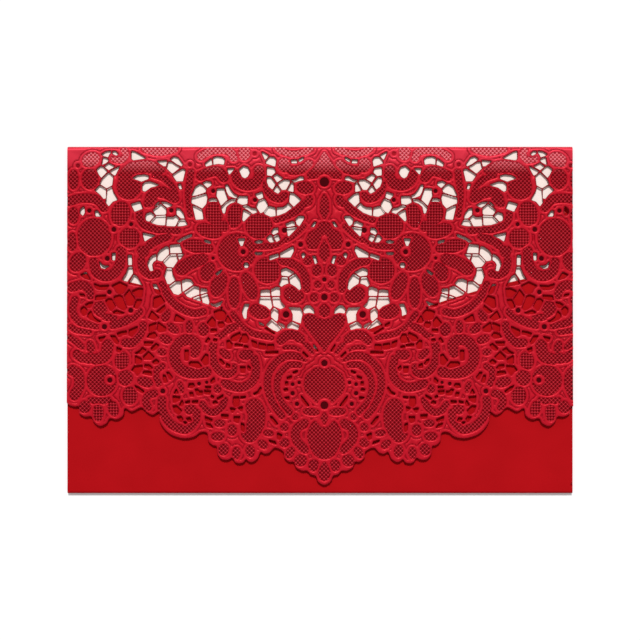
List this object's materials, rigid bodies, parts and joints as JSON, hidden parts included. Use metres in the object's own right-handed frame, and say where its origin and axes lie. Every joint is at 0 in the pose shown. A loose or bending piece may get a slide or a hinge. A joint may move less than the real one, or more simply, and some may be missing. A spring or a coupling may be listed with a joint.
{
  "type": "wedding invitation",
  "caption": "Folded card invitation with a laser-cut lace flap over a plain pocket that holds a separate insert card.",
  "frame": {"origin": "centre of the bounding box's foot, on the outer face of the back panel", "axes": "+X to the right along the top fold, +Y up the page towards the top fold, +Z out of the front, towards the reader"},
  "size_m": [0.185, 0.127, 0.0039],
  "materials": {
    "cover_card": "pearlescent satin",
    "insert_card": "matt"
  },
  "bodies": {
    "root": {"lace_cover": "cover_card", "insert_card": "insert_card"}
  },
  "joints": []
}
